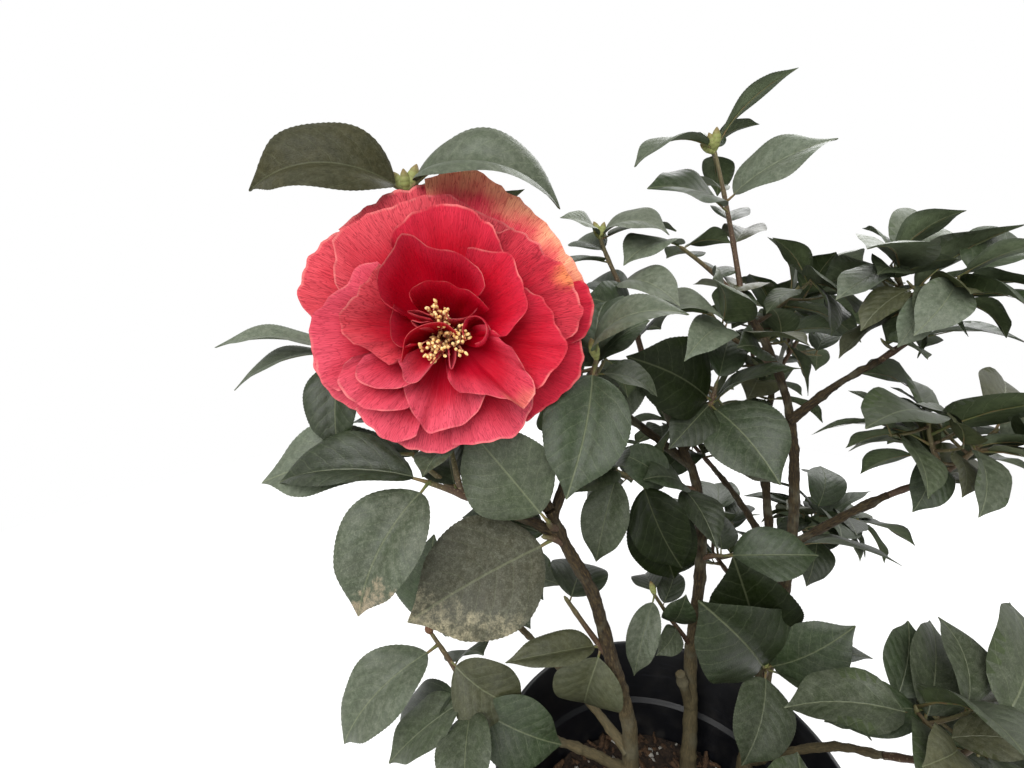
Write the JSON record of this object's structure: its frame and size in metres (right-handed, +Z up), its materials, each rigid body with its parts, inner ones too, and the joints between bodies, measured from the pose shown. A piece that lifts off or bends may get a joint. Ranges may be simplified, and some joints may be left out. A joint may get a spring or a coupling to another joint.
{
  "type": "camellia shrub",
  "caption": "Camellia shrub in a black nursery pot: slender branching stems, matte oval pointed leaves and an open double red bloom with yellow stamens.",
  "frame": {"origin": "middle of the flat underside of the pot", "axes": "+Z up the plant, the open bloom faces -Y, +X to the right of a viewer who faces the bloom"},
  "size_m": [0.4586, 0.4396, 0.6113],
  "materials": {
    "foliage": "matte",
    "bark": "matte",
    "petal": "matte",
    "black_plastic": "satin",
    "potting_soil": "matte"
  },
  "bodies": {
    "root": {"pot": "black_plastic", "potting_soil": "potting_soil", "main_stem": "bark", "second_stem": "bark", "right_stem": "bark", "back_stem": "bark", "bloom_bough": "bark", "left_bough": "bark", "lower_left_bough": "bark", "inner_bough": "bark", "upper_left_bough": "bark", "centre_bough": "bark", "back_left_bough": "bark", "right_outer_bough": "bark", "right_upper_bough": "bark", "right_front_bough": "bark", "back_upper_bough": "bark", "back_middle_bough": "bark", "back_outer_bough": "bark", "back_low_bough": "bark", "left_back_bough": "bark", "front_bough": "bark", "bloom": "petal", "bloom_shoot_foliage": "foliage", "fork_spur": "foliage", "left_bough_foliage": "foliage", "main_stem_spur": "foliage", "lower_spur": "foliage", "lower_left_foliage": "foliage", "inner_foliage": "foliage", "upper_middle_foliage": "foliage", "centre_foliage": "foliage", "second_stem_foliage": "foliage", "second_stem_low_foliage": "foliage", "second_stem_spur": "foliage", "right_low_foliage": "foliage", "right_stem_spur": "foliage", "right_shoot_foliage": "foliage", "top_right_foliage": "foliage", "upper_right_foliage": "foliage", "back_left_foliage": "foliage", "back_top_foliage": "foliage", "back_upper_foliage": "foliage", "back_middle_foliage": "foliage", "back_outer_foliage": "foliage", "back_low_foliage": "foliage", "left_back_foliage": "foliage", "right_outer_foliage": "foliage", "right_upper_foliage": "foliage", "right_front_foliage": "foliage", "front_foliage": "foliage"}
  },
  "joints": []
}
